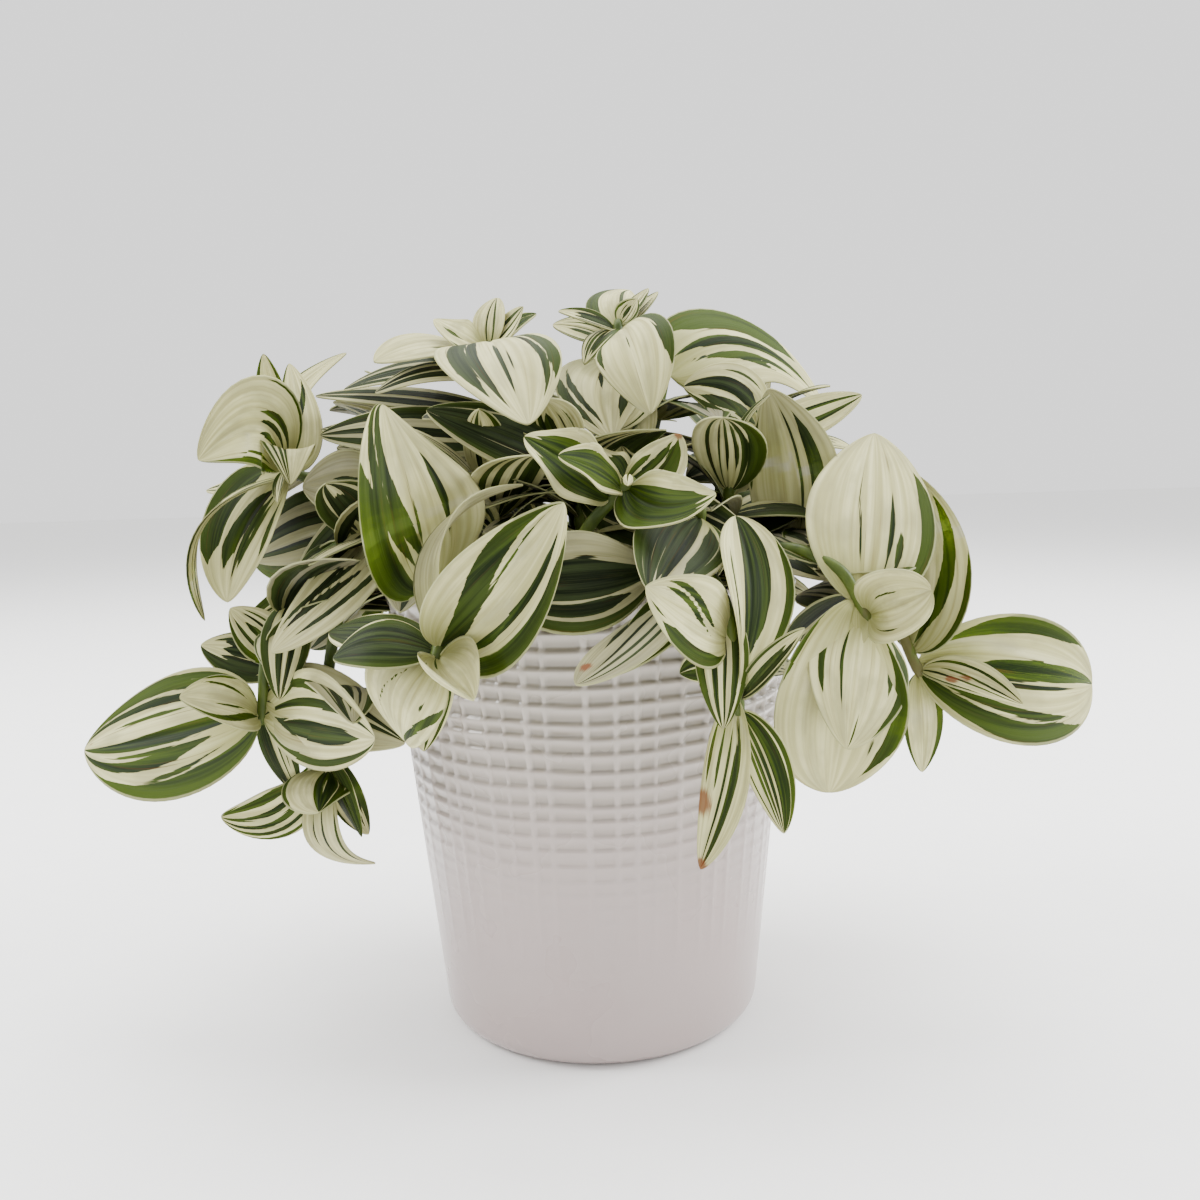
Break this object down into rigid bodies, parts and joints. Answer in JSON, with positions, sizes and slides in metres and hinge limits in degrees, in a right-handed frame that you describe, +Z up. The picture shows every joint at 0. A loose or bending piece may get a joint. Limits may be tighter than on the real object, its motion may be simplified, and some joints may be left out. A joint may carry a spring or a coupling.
{
  "type": "potted tradescantia",
  "caption": "Variegated trailing house plant with broad pointed cream and green leaves, in soil in a plain inner pot, standing in a glazed tapered pot with a raised woven pattern.",
  "frame": {"origin": "middle of the glazed pot's flat base, on the surface it stands on", "axes": "+Z up along the pot's axis, +Y away from the side that the picture shows, +X to the right as seen from there"},
  "size_m": [0.3404, 0.2416, 0.2504],
  "materials": {
    "glaze": "glossy pearly white glaze with a faint pink tone, over a raised woven pattern",
    "inner_pot": "satin black plastic",
    "soil": "damp crumbly potting soil",
    "leaf": "soft satin leaf, striped lengthwise in green and cream, on pale green stems"
  },
  "bodies": {
    "root": {"cover_pot": "glaze", "inner_pot": "inner_pot", "soil": "soil", "shoot_left": "leaf", "shoot_low_left": "leaf", "shoot_front_left": "leaf", "shoot_front_right": "leaf", "shoot_crinkled": "leaf", "shoot_middle": "leaf", "shoot_top_left": "leaf", "shoot_top_right": "leaf", "shoot_far_left": "leaf", "shoot_left_inner": "leaf", "shoot_left_mid": "leaf", "shoot_left_back": "leaf", "shoot_right": "leaf", "shoot_far_right": "leaf", "shoot_right_inner": "leaf", "shoot_back_right": "leaf", "shoot_inner_left": "leaf", "shoot_inner_mid": "leaf", "shoot_inner_right": "leaf", "shoot_back_left": "leaf", "shoot_back": "leaf", "shoot_back_low": "leaf", "shoot_right_back": "leaf", "shoot_high_left": "leaf", "shoot_high_back": "leaf", "shoot_high_right": "leaf"}
  },
  "joints": []
}
